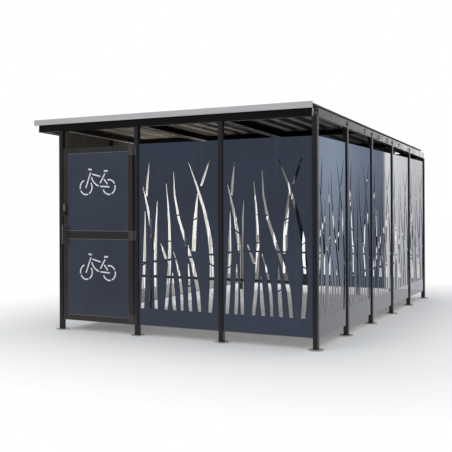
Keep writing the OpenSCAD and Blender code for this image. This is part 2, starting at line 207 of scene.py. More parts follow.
def button_head(name, material, radius, rise, socket):
    """Round screw head with a socket in its crown, standing on the origin along +Z."""
    shoulder, socket_depth, socket_taper = 0.7 * rise, 0.57 * rise, socket / 10
    piece = begin(name, bpy.ops.mesh.primitive_cylinder_add, vertices=12, radius=radius,
                  depth=rise, location=(0, 0, rise / 2))
    pick_top(rise)
    bpy.ops.mesh.bevel(offset=shoulder, segments=2, affect="EDGES")
    pick_top(rise)
    bpy.ops.mesh.inset(thickness=radius - shoulder - socket, depth=0)
    bpy.ops.mesh.inset(thickness=socket_taper, depth=-socket_depth)
    return close_up(piece, material)


def set_out(master, name, places, body):
    """Copies a finished master to each place and joins the copies as one piece."""
    bpy.ops.object.select_all(action="DESELECT")
    for place in places:
        copy = bpy.data.objects.new(name, master.data.copy())
        copy.data.transform(place)
        bpy.context.collection.objects.link(copy)
        copy.select_set(True)
        bpy.context.view_layer.objects.active = copy
    if len(places) > 1:
        bpy.ops.object.join()
    piece = bpy.context.view_layer.objects.active
    piece.name = piece.data.name = name
    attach(piece, body)


bolt_zinc = zinc("bolt_zinc", srgb(150, 148, 142), srgb(96, 95, 92),
                 flake=400.0, roughness=0.4, metallic=0.7)
anchor = button_head("anchor", bolt_zinc, anchor_radius, anchor_rise, anchor_socket)
reach = anchor_circle / 2
for wall, spots in post_spots.items():
    corners = [(x, y, radians(45 + 90 * k)) for x, y in spots for k in range(4)]
    places = [Matrix.Translation((x + reach * cos(a), y + reach * sin(a), plate_top))
              @ Matrix.Rotation(a, 4, "Z") for x, y, a in corners]
    set_out(anchor, wall + "_anchors", places, "frame")
bpy.data.objects.remove(anchor)


# Posts
# Square steel tube, 50 mm a side, powder coated almost black. The coat is matt with a fine
# orange peel, a little paler where dust from the ground has settled low down.

post_half = 0.025
dust_line = 0.5
ground_dust = srgb(122, 116, 108)


def powder_coat(name, colour, shade, roughness, ior, dust):
    """Baked paint whose tone drifts, with a fine peel and dust that thins out above the ground."""
    material = new_material(name, roughness, ior=ior)
    shader = material.node_tree.nodes["Principled BSDF"]
    drift = remap(material, grain(material, 2.3), 0.35, 0.65)
    paint = mix_colours(material, drift, colour, shade)
    place = add_node(material, "TexCoord")
    axes = add_node(material, "SeparateXYZ")
    wire(material, place.outputs["Object"], axes.inputs["Vector"])
    low = remap(material, axes.outputs["Z"], 0.0, dust_line, dust, 0.0)
    grit = grain(material, 30.0, detail=6.0, stretch=(1, 1, 0.4))
    specks = remap(material, grit, 0.3, 0.75, to_low=0.2)
    cover = add_node(material, "Math", operation="MULTIPLY", use_clamp=True)
    wire(material, low, cover.inputs[0])
    wire(material, specks, cover.inputs[1])
    paled_paint = mix_colours(material, cover.outputs["Value"], paint, ground_dust)
    wire(material, paled_paint, shader.inputs["Base Color"])
    gloss = remap(material, grain(material, 7.0), 0.3, 0.7, roughness - 0.06, roughness + 0.08)
    wire(material, gloss, shader.inputs["Roughness"])
    roughen(material, grain(material, 900.0, detail=2.0), strength=0.12, depth=0.0003)
    return material


post_coat = powder_coat("post_coat", srgb(23, 22, 26), srgb(18, 17, 21),
                        roughness=0.36, ior=1.28, dust=0.1)
dress(post_coat, *[wall + "_posts" for wall in post_spots])


# Weld beads
# Each post is welded all round to its foot plate. The bead is a sloping fillet, 6 mm on each
# leg, painted over with the post.

bead_leg, bead_hold, bead_corner = 0.006, 0.0005, 0.008

weld = begin("weld", bpy.ops.mesh.primitive_cube_add, size=1,
             location=(0, 0, plate_top + bead_leg / 2),
             scale=(2 * (post_half + bead_leg), 2 * (post_half + bead_leg), bead_leg))
bpy.ops.mesh.select_mode(type="EDGE")
bpy.ops.mesh.select_all(action="DESELECT")
mesh = bmesh.from_edit_mesh(weld.data)
for edge in mesh.edges:
    if abs(edge.verts[0].co.z - edge.verts[1].co.z) > bead_leg / 2:
        edge.select_set(True)
bmesh.update_edit_mesh(weld.data)
bpy.ops.mesh.bevel(offset=bead_corner, segments=3, affect="EDGES")
pick_top(plate_top + bead_leg)
slope = (post_half + bead_hold) / (post_half + bead_leg)
bpy.ops.transform.resize(value=(slope, slope, 1), center_override=(0, 0, plate_top))
bpy.ops.mesh.inset(thickness=2 * bead_hold, depth=0)
pick_facing((0, 0, -1))
bpy.ops.mesh.inset(thickness=bead_leg + bead_hold, depth=0)
pick_faces(lambda centre, normal: abs(normal.z) > 0.9 and hypot(centre.x, centre.y) < 1e-4)
bpy.ops.mesh.bridge_edge_loops()
close_up(weld, post_coat)
for wall, spots in post_spots.items():
    places = [Matrix.Translation((x, y, 0)) for x, y in spots]
    set_out(weld, wall + "_weld_beads", places, "frame")
bpy.data.objects.remove(weld)


# Wall panels
# Sheet steel trays with reeds cut by laser, folded on all four edges and bolted between the
# posts. Outside they have a smooth slate blue coat with a wet gloss, deepest on the right wall. On
# the reverse a pale tone is painted light, on the front and left walls and the far back panel, and
# slate is painted shade, on the right wall and the two back panels next to it.

shelter_middle = Vector((left_wall / 2, back_wall / 2, 0))
slate, slate_shade = srgb(40, 49, 67), srgb(35, 43, 60)
lit_lining, lit_lining_drift = srgb(172, 169, 164), srgb(158, 155, 150)
wall_pale_tone = srgb(84, 92, 112)
pale_foot, pale_line, pale_share = 0.12, 1.4, 0.2
soft_ior, deep_ior = 1.33, 1.5
inner_reach = 0.5


def wall_coat(name, ior, lining, lining_shade):
    """Glossy slate paint outside and a lining tone on faces that look into the shelter."""
    material = new_material(name, roughness=0.03, ior=ior)
    shader = material.node_tree.nodes["Principled BSDF"]
    place = add_node(material, "TexCoord")
    offset = add_node(material, "VectorMath", operation="SUBTRACT")
    wire(material, place.outputs["Object"], offset.inputs[0])
    offset.inputs[1].default_value = shelter_middle
    facing = add_node(material, "VectorMath", operation="DOT_PRODUCT")
    wire(material, offset.outputs["Vector"], facing.inputs[0])
    wire(material, place.outputs["Normal"], facing.inputs[1])
    inside = add_node(material, "Math", operation="LESS_THAN")
    wire(material, facing.outputs["Value"], inside.inputs[0])
    inside.inputs[1].default_value = -inner_reach
    drift = remap(material, grain(material, 1.6), 0.35, 0.65)
    outer = mix_colours(material, drift, slate, slate_shade)
    axes = add_node(material, "SeparateXYZ")
    wire(material, place.outputs["Object"], axes.inputs["Vector"])
    runs = grain(material, 14.0, detail=4.0, stretch=(1, 1, 0.05))
    streaks = remap(material, runs, 0.5, 0.75, to_high=0.07)
    # Paler and bluer towards the bottom, and in thin runs down the sheet.
    low_pale = remap(material, axes.outputs["Z"], pale_foot, pale_line, pale_share, 0.0)
    pale_cover = add_node(material, "Math", operation="ADD", use_clamp=True)
    wire(material, streaks, pale_cover.inputs[0])
    wire(material, low_pale, pale_cover.inputs[1])
    paled_paint = mix_colours(material, pale_cover.outputs["Value"], outer, wall_pale_tone)
    inner = mix_colours(material, drift, lining, lining_shade)
    faces = mix_colours(material, inside.outputs["Value"], paled_paint, inner)
    wire(material, faces, shader.inputs["Base Color"])
    haze = remap(material, grain(material, 4.0), 0.3, 0.7, 0.02, 0.045)
    wire(material, haze, shader.inputs["Roughness"])
    roughen(material, grain(material, 300.0, detail=1.0), strength=0.03, depth=0.0004)
    return material


# Painted light and shade inside: the pale lining stands for lit inner faces, the slate lining for
# shaded ones.
lit_lining_coat = wall_coat("lit_lining_coat", soft_ior, lit_lining, lit_lining_drift)
dress(lit_lining_coat, "front_panel_1", "front_panel_2", "back_panel_3",
      *[f"left_panel_{k}" for k in range(1, 6)])
shaded_lining_coat = wall_coat("shaded_lining_coat", soft_ior, slate, slate_shade)
dress(shaded_lining_coat, "back_panel_1", "back_panel_2")
glossy_shaded_lining_coat = wall_coat("glossy_shaded_lining_coat", deep_ior, slate, slate_shade)
dress(glossy_shaded_lining_coat, *[f"right_panel_{k}" for k in range(1, 6)])


# Girts
# A light folded channel runs across the back of each panel at knee height and stops the cut
# sheet from drumming. It is coated a deep matt black, so it shows as ticks behind the reeds.

girt_coat = powder_coat("girt_coat", srgb(20, 20, 22), srgb(15, 15, 17),
                        roughness=0.5, ior=1.3, dust=0.1)
dress(girt_coat, *[wall + "_girts" for wall in post_spots])


# Door leaf
# Welded rectangular tube: two stiles, and rails at the head, the foot and half way up. Its
# powder coat is a shade paler than the posts'.

leaf_coat = powder_coat("leaf_coat", srgb(40, 37, 37), srgb(34, 31, 31),
                        roughness=0.4, ior=1.28, dust=0.2)
dress(leaf_coat, "door_stiles", "door_rails")


# Door infill
# Plain folded sheets close the upper and lower half of the leaf. They are painted on both sides,
# in a slate blue with less gloss than the walls.

infill_coat = powder_coat("infill_coat", srgb(48, 56, 72), srgb(43, 50, 66),
                          roughness=0.22, ior=1.32, dust=0.1)
dress(infill_coat, "door_upper_panel", "door_lower_panel")


# Glazing beads
# A thin aluminium bead, left bare, frames each infill sheet against the leaf's tubes. It is
# pressed into the corner, and its uprights are narrower than its level runs. Its pale tone is
# partly the bare metal and partly a painted highlight, the light its edges catch.

bead_width, bead_side, bead_rise = 0.005, 0.002, 0.003
# Pale: partly bare metal, partly a painted highlight.
bead_highlight_metal = zinc("bead_highlight_metal", srgb(122, 123, 128), srgb(102, 103, 108),
                  flake=700.0, roughness=0.4, metallic=0.3)
for half in ("upper", "lower"):
    low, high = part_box(f"door_{half}_panel")
    middle = (low + high) / 2
    bead = begin(f"door_{half}_bead", bpy.ops.mesh.primitive_cube_add, size=1,
                 location=(middle.x, low.y - bead_rise / 2, middle.z),
                 scale=(high.x - low.x, bead_rise, high.z - low.z))
    pick_facing((0, -1, 0), (0, 1, 0))
    bpy.ops.mesh.inset(thickness=bead_width, depth=0, use_individual=True)
    spread = (high.x - low.x - 2 * bead_side) / (high.x - low.x - 2 * bead_width)
    bpy.ops.transform.resize(value=(spread, 1, 1), center_override=middle)
    pick_faces(lambda centre, normal: abs(normal.y) > 0.9 and abs(centre.x - middle.x) < 1e-4
               and abs(centre.z - middle.z) < 1e-4)
    bpy.ops.mesh.bridge_edge_loops()
    close_up(bead, bead_highlight_metal)
    bevel = bead.modifiers.new("rounding", "BEVEL")
    bevel.width = bead_rise / 4
    bevel.segments = 2
    bpy.ops.object.modifier_apply(modifier=bevel.name)
    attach(bead, "door")


# Bicycle signs
# A plain bicycle outline on each half of the door, sprayed in white through a stencil, so its
# wheels and tubes are broken by the stencil's bridges.

sign_film, sign_stroke = 0.0006, 0.0148
sign_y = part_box("door_upper_panel")[0].y - sign_film / 2
lower_sign_drop = 0.930
arc_step, merge_reach = 8, 0.00005
sign_bars = [
    ((-2.625, 1.780), (-2.581, 1.774), 0.017),
    ((-2.594, 1.744), (-2.660, 1.575), sign_stroke),
    ((-2.573, 1.725), (-2.465, 1.698), sign_stroke),
    ((-2.405, 1.727), (-2.469, 1.624), sign_stroke),
    ((-2.418, 1.755), (-2.368, 1.756), 0.018),
    ((-2.467, 1.590), (-2.345, 1.583), sign_stroke),
    ((-2.417, 1.668), (-2.372, 1.612), sign_stroke),
]
front_hub, rear_hub = Vector((-2.656, sign_y, 1.582)), Vector((-2.351, sign_y, 1.581))
tube_centre = Vector((-2.444, sign_y, 1.732))
wheel_radius, tube_radius = 0.0795, 0.144
sign_arcs = [
    (front_hub, wheel_radius, [(110, 193), (206, 289), (301, 397)]),
    (rear_hub, wheel_radius, [(-65, 14), (27, 105), (200, 283)]),
    (tube_centre, tube_radius, [(196, 253)]),
]


def add_arc(centre, radius, start, end):
    """Spins a stroke's section round a centre, in degrees from +X towards +Z."""
    turn = radians(start)
    at = centre + radius * Vector((cos(turn), 0, sin(turn)))
    bpy.ops.mesh.select_all(action="DESELECT")
    bpy.ops.mesh.primitive_plane_add(size=1, location=at, rotation=(0, -turn, 0))
    bpy.ops.transform.resize(value=(sign_stroke, sign_film, sign_stroke), center_override=at)
    bpy.ops.mesh.spin(steps=round((end - start) / arc_step), angle=radians(end - start),
                      center=centre, axis=(0, 1, 0))


def bar_shape(start, end, width):
    """Place, turn and size of the cube that makes a bar between two points."""
    (x0, z0), (x1, z1) = start, end
    return {"size": 1, "location": ((x0 + x1) / 2, sign_y, (z0 + z1) / 2),
            "rotation": (0, -atan2(z1 - z0, x1 - x0), 0),
            "scale": (hypot(x1 - x0, z1 - z0), sign_film, width)}


sign_white = new_material("sign_white", roughness=0.45)
fade = remap(sign_white, grain(sign_white, 60.0, detail=5.0), 0.3, 0.7)
sign_tone = mix_colours(sign_white, fade, srgb(238, 239, 242), srgb(214, 216, 222))
wire(sign_white, sign_tone, sign_white.node_tree.nodes["Principled BSDF"].inputs["Base Color"])
roughen(sign_white, grain(sign_white, 1500.0, detail=2.0), strength=0.1, depth=0.0002)

first_bar, *other_bars = sign_bars
sign = begin("sign", bpy.ops.mesh.primitive_cube_add, **bar_shape(*first_bar))
for bar in other_bars:
    bpy.ops.mesh.primitive_cube_add(**bar_shape(*bar))
for centre, radius, spans in sign_arcs:
    for start, end in spans:
        add_arc(centre, radius, start, end)
bpy.ops.mesh.select_all(action="SELECT")
bpy.ops.mesh.remove_doubles(threshold=merge_reach)
close_up(sign, sign_white)
set_out(sign, "upper_bicycle_sign", [Matrix.Identity(4)], "door")
set_out(sign, "lower_bicycle_sign", [Matrix.Translation((0, 0, -lower_sign_drop))], "door")
bpy.data.objects.remove(sign)


# Hinges
# Three steel butt hinges, fixed on the surface, in a coat a little paler than the door's. Their
# plates are held by button head screws: four in the leaf's plate and three in the post's.

hinge_coat = powder_coat("hinge_coat", srgb(55, 52, 57), srgb(47, 45, 49),
                         roughness=0.38, ior=1.4, dust=0.1)
dress(hinge_coat, "hinge_post_halves", "hinge_leaf_halves")
knuckle_x, knuckle_proud = -2.035, 0.0130
hinge_middles = [0.1675, 1.060, 1.9675]
leaf_columns, post_column, screw_reach = (-0.0235, -0.0495), 0.023, 0.036
screw_radius, screw_rise, screw_socket = 0.0055, 0.0028, 0.0028
screw_metal = zinc("screw_metal", srgb(88, 86, 86), srgb(60, 59, 60),
                   flake=500.0, roughness=0.36, metallic=0.8)


def turned_to(direction):
    """Turn that points a fixing's +Z along a direction."""
    return Vector((0, 0, 1)).rotation_difference(Vector(direction)).to_matrix().to_4x4()


plate_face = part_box("hinge_leaf_halves")[0].y + knuckle_proud
leaf_screws = [(knuckle_x + dx, z + dz) for z in hinge_middles
               for dx in leaf_columns for dz in (-screw_reach, screw_reach)]
post_screws = [(knuckle_x + post_column, z + dz) for z in hinge_middles
               for dz in (-screw_reach, 0, screw_reach)]
screw = button_head("screw", screw_metal, screw_radius, screw_rise, screw_socket)
forward = turned_to((0, -1, 0))
for name, spots, body in (("hinge_leaf_screws", leaf_screws, "door"),
                          ("hinge_post_screws", post_screws, "frame")):
    places = [Matrix.Translation((x, plate_face, z)) @ forward for x, z in spots]
    set_out(screw, name, places, body)


# Code lock
# A cast black case, fixed to the stile, with two columns of plain steel push buttons over a
# turning knob. The knob has a raised grip bar.

lock_coat = powder_coat("lock_coat", srgb(30, 29, 30), srgb(22, 22, 23),
                        roughness=0.34, ior=1.4, dust=0.0)
dress(lock_coat, "code_lock")
lock_low, lock_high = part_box("code_lock")
lock_x = (lock_low.x + lock_high.x) / 2
knob_rise, knob_radius = 0.020, 0.014
knob_face, knob_z = lock_low.y, lock_low.z + 2 * knob_radius
case_face = knob_face + knob_rise
button_radius, button_rise = 0.0042, 0.0028
button_rows, button_step, button_gap, button_margin = 5, 0.0135, 0.018, 0.014
button_metal = zinc("button_metal", srgb(168, 168, 166), srgb(130, 130, 128),
                    flake=900.0, roughness=0.3, metallic=0.8)
button = begin("button", bpy.ops.mesh.primitive_cylinder_add, vertices=16, radius=button_radius,
               depth=button_rise, location=(0, 0, button_rise / 2))
pick_top(button_rise)
bpy.ops.mesh.bevel(offset=button_rise / 2, segments=2, affect="EDGES")
close_up(button, button_metal)
top_row = lock_high.z - button_margin
places = [Matrix.Translation((lock_x + side * button_gap / 2, case_face, top_row - k * button_step))
          @ forward for side in (-1, 1) for k in range(button_rows)]
set_out(button, "lock_buttons", places, "door")
bpy.data.objects.remove(button)

grip_width, grip_rise, grip_length, grip_edge = 0.007, 0.006, 1.8 * knob_radius, 0.0012
crest_width, crest_length = 0.6, 0.9
grip = begin("lock_grip", bpy.ops.mesh.primitive_cube_add, size=1,
             location=(lock_x, knob_face - grip_rise / 2, knob_z),
             scale=(grip_width, grip_rise, grip_length))
pick_facing((0, -1, 0))
bpy.ops.transform.resize(value=(crest_width, 1, crest_length),
                         center_override=(lock_x, knob_face, knob_z))
bpy.ops.mesh.bevel(offset=grip_edge, segments=2, affect="EDGES")
close_up(grip, lock_coat)
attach(grip, "door")


# Pull handle
# A round steel bar, bent at both ends and fixed to the lock-side stile on two roses. Its grey
# coat has been rubbed smooth by hands.

handle_coat = powder_coat("handle_coat", srgb(80, 78, 78), srgb(68, 66, 66),
                          roughness=0.22, ior=1.5, dust=0.0)
dress(handle_coat, "pull_handle")


# Roof frame
# Folded steel channels, 80 mm deep: a beam across the front and back, a rail on each side wall
# and rafters between, with purlins from web to web. The rails' coat is smoother than the posts',
# and the beams, rafters and purlins have a flatter, warmer black.

beam_coat = powder_coat("beam_coat", srgb(18, 15, 14), srgb(14, 12, 11),
                        roughness=0.44, ior=1.13, dust=0.0)
dress(beam_coat, "front_beam", "back_beam", "inner_rafters", "edge_rafter", "roof_purlins")
rail_coat = powder_coat("rail_coat", srgb(32, 30, 30), srgb(27, 25, 25),
                        roughness=0.3, ior=1.38, dust=0.0)
dress(rail_coat, "right_rail", "left_rail")


# Frame bolts
# Hexagon bolts fix the rails to the posts' tabs and the purlins to the rails' webs. Button heads
# fix the beams to the corner posts' tabs and close each outer post just above the panels.

front_height, roof_fall = 2.215, radians(1.7)
roof = Matrix.Translation((0, 0, front_height)) @ Matrix.Rotation(-roof_fall, 4, "X")
slope_depth = back_wall / cos(roof_fall)
tab_face, rail_face, rail_middle, purlin_half = post_half, 0.022, 0.040, 0.020
purlin_rows = [k * slope_depth / 3 + purlin_half for k in (1, 2)]
splice_spots = [2.17, 2.54]
pair_gap, corner_screw_y, post_screw_rise = 0.030, 0.0185, 0.033
pair = (-pair_gap / 2, pair_gap / 2)
washer_radius, washer_thick = 0.0115, 0.0025
nut_radius, nut_thick = 0.0092, 0.008


def on_roof(x, y, z, turn=Matrix.Identity(4)):
    """Place on the sloping roof frame, from the foot of the rails at the right front corner."""
    return roof @ Matrix.Translation((x, y, z)) @ turn


bolt = begin("bolt", bpy.ops.mesh.primitive_cylinder_add, vertices=16, radius=washer_radius,
             depth=washer_thick, location=(0, 0, washer_thick / 2))
pick_top(washer_thick)
bpy.ops.mesh.bevel(offset=washer_thick / 3, segments=1, affect="EDGES")
bpy.ops.mesh.primitive_cylinder_add(vertices=6, radius=nut_radius, depth=nut_thick,
                                    location=(0, 0, washer_thick + nut_thick / 2))
pick_top(washer_thick + nut_thick)
bpy.ops.mesh.bevel(offset=nut_thick / 7, segments=1, affect="EDGES")
close_up(bolt, bolt_zinc)
rightward, leftward = turned_to((1, 0, 0)), turned_to((-1, 0, 0))
tab_ys = [k * side_pitch for k in range(1, 5)]
right_places = [on_roof(tab_face, y, rail_middle, rightward) for y in tab_ys]
right_places += [on_roof(rail_face, y, rail_middle + dz, rightward)
                 for y in purlin_rows + splice_spots for dz in pair]
left_places = [on_roof(left_wall - tab_face, y, rail_middle, leftward) for y in tab_ys]
left_places += [on_roof(left_wall - rail_face, y, rail_middle + dz, leftward)
                for y in purlin_rows for dz in pair]
corner_places = [on_roof(-rail_face, y + corner_screw_y, rail_middle + dz, rightward)
                 for y in (0, slope_depth) for dz in pair]
set_out(bolt, "right_rail_bolts", right_places, "frame")
set_out(bolt, "left_rail_bolts", left_places, "frame")
set_out(screw, "corner_tab_screws", corner_places, "frame")

panel_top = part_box("front_panel_1")[1].z
post_screw_z = panel_top + post_screw_rise
front_places = [Matrix.Translation((x, -post_half, post_screw_z)) @ forward
                for x, y in post_spots["front"]]
side_places = [Matrix.Translation((post_half, k * side_pitch, post_screw_z)) @ rightward
               for k in range(6)]
side_places += [Matrix.Translation((left_wall - post_half, k * side_pitch, post_screw_z)) @ leftward
                for k in range(6)]
rear_places = [Matrix.Translation((-k * front_pitch, back_wall + post_half, post_screw_z))
               @ turned_to((0, 1, 0)) for k in range(4)]
set_out(screw, "post_screws", front_places + side_places + rear_places, "frame")
bpy.data.objects.remove(screw)


# Corner plates
# A bare zinc plate, rounded at its rim, packs the front part of each tab on the right corner posts
# where the beam's end is bolted up.

pack_thick, pack_width, pack_height = 0.002, 0.036, 0.074
pack_y = -post_half + pack_width / 2
pack = begin("pack", bpy.ops.mesh.primitive_cube_add, size=1,
             location=(-rail_face + pack_thick / 2, pack_y, rail_middle),
             scale=(pack_thick, pack_width, pack_height))
pick_facing((1, 0, 0))
bpy.ops.mesh.bevel(offset=pack_thick / 3, segments=2, affect="EDGES")
close_up(pack, plate_zinc)
pack_places = [on_roof(0, y, 0) for y in (0, slope_depth)]
set_out(pack, "corner_plates", pack_places, "frame")
bpy.data.objects.remove(pack)


# Rafter lips
# A narrow zinc strip stands on the free edge of the lower flange of each rafter and of the left
# rail, welded along it, so that no sharp edge hangs over the bays. Its near-white tone is a
# painted highlight, the light caught along these flange edges.

lip_thick, lip_rise, lip_clearance = 0.002, 0.013, 0.001
flange_thick = 0.003
# Near-white: a painted highlight along the flange edges.
lip_highlight_zinc = zinc("lip_highlight_zinc", srgb(232, 228, 216), srgb(206, 202, 190),
                flake=60.0, roughness=0.45, metallic=0.0)
lip = begin("lip", bpy.ops.mesh.primitive_cube_add, size=1,
            location=(-lip_thick / 2, slope_depth / 2, flange_thick + lip_rise / 2),
            scale=(lip_thick, slope_depth - 2 * (post_half + lip_clearance), lip_rise))
pick_top(flange_thick + lip_rise)
bpy.ops.mesh.bevel(offset=lip_thick / 4, segments=2, affect="EDGES")
close_up(lip, lip_highlight_zinc)
lip_tips = [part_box("edge_rafter")[1].x] + [post_half - k * front_pitch for k in (1, 2, 3)]
lip_places = [on_roof(x, 0, 0) for x in lip_tips]
set_out(lip, "rafter_lips", lip_places, "frame")
bpy.data.objects.remove(lip)


# Roof sheets
# Trapezoid sheets of galvanised steel, three side by side with their ribs down the slope. Bare
# zinc on top. The underside is painted with light and shade: lit and paler near the door side,
# shaded dark brown away from it, lit again along the right verge, with streaks down the slope.

sheet_low, sheet_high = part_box("roof_sheets")
verge_width, shade_from = 0.03, -0.9
trough_count, trough_top, front_screw_line = 18, 0.081, 0.012
sheet_zinc = zinc("sheet_zinc", srgb(166, 163, 156), srgb(146, 142, 134),
                  flake=60.0, roughness=0.46, metallic=0.45)
sheet_shader = sheet_zinc.node_tree.nodes["Principled BSDF"]
bright_zinc = sheet_shader.inputs["Base Color"].links[0].from_socket
sheet_place = add_node(sheet_zinc, "TexCoord")
sheet_normal = add_node(sheet_zinc, "SeparateXYZ")
wire(sheet_zinc, sheet_place.outputs["Normal"], sheet_normal.inputs["Vector"])
# Painted light and shade on the underside: the lit tone near the door side, the shaded tone away
# from it.
underside = remap(sheet_zinc, sheet_normal.outputs["Z"], -0.05, 0.05, 1.0, 0.0)
slope_streaks = remap(sheet_zinc, grain(sheet_zinc, 3.0, detail=5.0, stretch=(1, 0.15, 1)), 0.4, 0.65)
lit_underside = mix_colours(sheet_zinc, slope_streaks, srgb(172, 162, 147), srgb(94, 87, 78))
shaded_underside = mix_colours(sheet_zinc, slope_streaks, srgb(48, 42, 32), srgb(24, 20, 15))
sheet_axes = add_node(sheet_zinc, "SeparateXYZ")
wire(sheet_zinc, sheet_place.outputs["Object"], sheet_axes.inputs["Vector"])
shade_share = remap(sheet_zinc, sheet_axes.outputs["X"], left_wall, shade_from)
underside_light_and_shade = mix_colours(sheet_zinc, shade_share, lit_underside, shaded_underside)
verge_share = remap(sheet_zinc, sheet_axes.outputs["X"], sheet_high.x - verge_width, sheet_high.x)
lit_verge = mix_colours(sheet_zinc, verge_share, underside_light_and_shade, srgb(150, 146, 122))
sheet_tone = mix_colours(sheet_zinc, underside, bright_zinc, lit_verge)
wire(sheet_zinc, sheet_tone, sheet_shader.inputs["Base Color"])
dress(sheet_zinc, "roof_sheets")

trough_step = (sheet_high.x - sheet_low.x) / trough_count
screw_lines = [front_screw_line] + purlin_rows + [slope_depth]
sheet_places = [on_roof(sheet_low.x + (k + 0.5) * trough_step, y, trough_top)
                for y in screw_lines for k in range(trough_count)]
set_out(bolt, "roof_screws", sheet_places, "frame")
bpy.data.objects.remove(bolt)


# Head strips
# Plain strips of galvanised sheet close the gap over the left and the back wall, one to a bay,
# folded at the edges like trays. Each is cut to the roof's fall and fixed between two posts.

strip_depth, strip_sheet, strip_clearance = 0.025, 0.002, 0.001
rail_foot = roof.translation.z
strip_middle, strip_height = (panel_top + rail_foot) / 2, rail_foot - panel_top - 2 * strip_clearance
strip_zinc = zinc("strip_zinc", srgb(132, 125, 112), srgb(88, 82, 73),
                  flake=60.0, roughness=0.5, metallic=0.35)
left_bays = [((left_wall, (k + 0.5) * side_pitch, strip_middle),
              (strip_depth, side_pitch - 2 * post_half, strip_height)) for k in range(5)]
back_bays = [((-(k + 0.5) * front_pitch, back_wall, strip_middle),
              (front_pitch - 2 * post_half, strip_depth, strip_height)) for k in range(3)]
strip_walls = (("left_head_strips", left_bays, Vector((1, 0, 0))),
               ("back_head_strips", back_bays, Vector((0, -1, 0))))
for name, bays, inward in strip_walls:
    strips = []
    for middle, size in bays:
        strip = begin(name, bpy.ops.mesh.primitive_cube_add, size=1, location=middle, scale=size)
        bpy.ops.mesh.select_all(action="SELECT")
        bpy.ops.mesh.bisect(plane_co=roof @ Vector((0, 0, -strip_clearance)),
                            plane_no=roof.to_3x3() @ Vector((0, 0, 1)),
                            use_fill=True, clear_outer=True)
        pick_facing(inward)
        bpy.ops.mesh.inset(thickness=strip_sheet, depth=0)
        bpy.ops.mesh.inset(thickness=strip_sheet / 4, depth=strip_sheet - strip_depth)
        strips.append(close_up(strip, strip_zinc))
    bpy.ops.object.select_all(action="DESELECT")
    for strip in strips:
        strip.select_set(True)
    bpy.ops.object.join()
    joined = bpy.context.object
    joined.name = joined.data.name = name
    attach(joined, "frame")


# Fascia
# Folded aluminium trim in three lengths hides the sheets' front ends. It is left mill grey, with
# a fine rolling grain along its length.

fascia_metal = new_material("fascia_metal", roughness=0.4, metallic=0.25)
fascia_shader = fascia_metal.node_tree.nodes["Principled BSDF"]
rolled = remap(fascia_metal, grain(fascia_metal, 40.0, detail=4.0, stretch=(0.03, 1, 1)), 0.3, 0.7)
fascia_tone = mix_colours(fascia_metal, rolled, srgb(177, 178, 179), srgb(165, 165, 167))
wire(fascia_metal, fascia_tone, fascia_shader.inputs["Base Color"])
fascia_gloss = remap(fascia_metal, grain(fascia_metal, 9.0), 0.3, 0.7, 0.34, 0.5)
wire(fascia_metal, fascia_gloss, fascia_shader.inputs["Roughness"])
rolling = grain(fascia_metal, 300.0, detail=2.0, stretch=(0.05, 1, 1))
roughen(fascia_metal, rolling, strength=0.06, depth=0.0003)
dress(fascia_metal, "front_fascia")


# Rear gutter
# An open folded trough on the back beam takes the rain. It is coated dark grey, and flat straps
# across its mouth keep it from spreading.

gutter_coat = powder_coat("gutter_coat", srgb(58, 56, 56), srgb(48, 46, 46),
                          roughness=0.4, ior=1.36, dust=0.0)
dress(gutter_coat, "rear_gutter")
gutter_low, gutter_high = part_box("rear_gutter")
mouth_width, rim_top = 0.055, 0.076
mouth_y = slope_depth + post_half + mouth_width / 2
strap_count, strap_width, strap_thick = 5, 0.025, 0.002
strap = begin("strap", bpy.ops.mesh.primitive_cube_add, size=1,
              location=(0, mouth_y, rim_top + strap_thick / 2),
              scale=(strap_width, mouth_width - strap_thick, strap_thick))
pick_facing((0, 0, 1))
bpy.ops.mesh.bevel(offset=strap_thick / 4, segments=1, affect="EDGES")
close_up(strap, gutter_coat)
strap_step = (gutter_high.x - gutter_low.x) / strap_count
places = [on_roof(gutter_low.x + (k + 0.5) * strap_step, 0, 0) for k in range(strap_count)]
set_out(strap, "gutter_straps", places, "frame")
bpy.data.objects.remove(strap)


# Floor
# A pale studio floor. Near the shelter it takes the shadow, and further out it runs into the
# same plain white as the backdrop.

floor_half, floor_tone = 60.0, (0.92, 0.92, 0.92, 1)
fade_reach, near_share, footprint_margin = 2.4, 0.1, 0.1
footprint_half = Vector((footprint_margin - left_wall / 2, footprint_margin + back_wall / 2, 0))
floor_paint = new_material("floor_paint", roughness=0.9)
floor_tree = floor_paint.node_tree
floor_shader = floor_tree.nodes["Principled BSDF"]
floor_shader.inputs["Base Color"].default_value = floor_tone
floor_place = add_node(floor_paint, "TexCoord")
floor_steps = [("SUBTRACT", shelter_middle), ("ABSOLUTE", None), ("SUBTRACT", footprint_half),
               ("MAXIMUM", Vector((0, 0, 0))), ("LENGTH", None)]
floor_value = floor_place.outputs["Object"]
for operation, operand in floor_steps:
    step = add_node(floor_paint, "VectorMath", operation=operation)
    wire(floor_paint, floor_value, step.inputs[0])
    if operand is not None:
        step.inputs[1].default_value = operand
    floor_value = step.outputs["Value" if operation == "LENGTH" else "Vector"]
far_share = remap(floor_paint, floor_value, 0.0, fade_reach, to_low=near_share)
rays = add_node(floor_paint, "LightPath")
seen = add_node(floor_paint, "Math", operation="MULTIPLY")
wire(floor_paint, far_share, seen.inputs[0])
wire(floor_paint, rays.outputs["Is Camera Ray"], seen.inputs[1])
mirrored = add_node(floor_paint, "Math", operation="ADD", use_clamp=True)
wire(floor_paint, seen.outputs["Value"], mirrored.inputs[0])
wire(floor_paint, rays.outputs["Is Glossy Ray"], mirrored.inputs[1])
white_share = add_node(floor_paint, "Math", operation="ADD", use_clamp=True)
wire(floor_paint, mirrored.outputs["Value"], white_share.inputs[0])
